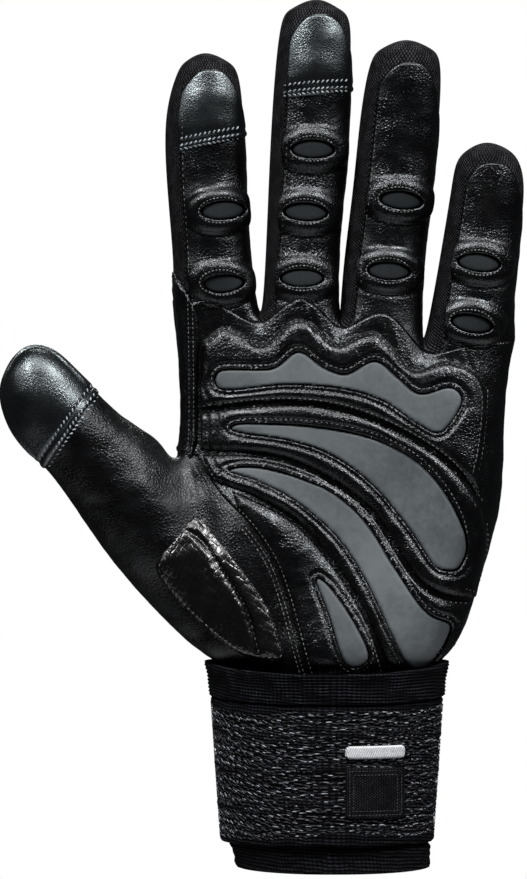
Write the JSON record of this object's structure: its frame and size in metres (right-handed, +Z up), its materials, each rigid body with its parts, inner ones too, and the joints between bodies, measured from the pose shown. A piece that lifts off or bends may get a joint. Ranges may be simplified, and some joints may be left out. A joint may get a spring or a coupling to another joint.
{
  "type": "weightlifting glove",
  "caption": "Full-finger padded leather gym glove for the left hand with rubber grip inlays and a wound wrist wrap, hollow and shaped as worn",
  "frame": {"origin": "middle of the wrist opening, at the lower edge of the wrap", "axes": "+Z up the hand to the fingertips, +X to the right seen from the palm side, -Y the way the palm faces"},
  "size_m": [0.1485, 0.0543, 0.2477],
  "materials": {
    "leather": "fine-grained black leather, semi-gloss",
    "touch_leather": "smooth glossy blue-black leather",
    "scale_leather": "glossy black leather embossed with small scales",
    "knit": "black ribbed stretch knit, matt",
    "grip": "matt slate-grey rubber",
    "insert": "matt dark grey rubber",
    "elastic": "black woven elastic with short light dashes",
    "thread": "pale grey satin stitch"
  },
  "bodies": {
    "root": {"grip_drop": "grip", "grip_lower": "grip", "grip_upper": "grip", "grip_wave": "grip", "hand_back": "knit", "index_insert_1": "insert", "index_insert_2": "insert", "index_knit": "knit", "index_leather": "leather", "index_side_strip": "leather", "index_touch_tip": "touch_leather", "little_insert_1": "insert", "little_insert_2": "insert", "little_knit": "knit", "little_leather": "leather", "middle_insert_1": "insert", "middle_insert_2": "insert", "middle_insert_3": "insert", "middle_knit": "knit", "middle_leather": "leather", "middle_touch_tip": "touch_leather", "pad_drop": "leather", "pad_lower": "leather", "pad_upper": "leather", "pad_wave": "leather", "palm_leather": "leather", "ring_insert_1": "insert", "ring_insert_2": "insert", "ring_knit": "knit", "ring_leather": "leather", "thenar_patch": "scale_leather", "thumb_back": "knit", "thumb_leather": "leather", "thumb_touch_cap": "touch_leather", "wrap_bar": "thread", "wrap_patch": "elastic", "wrap_sleeve": "elastic", "wrap_strap": "elastic", "wrap_tab": "elastic", "wrap_top_hem": "elastic"}
  },
  "joints": []
}
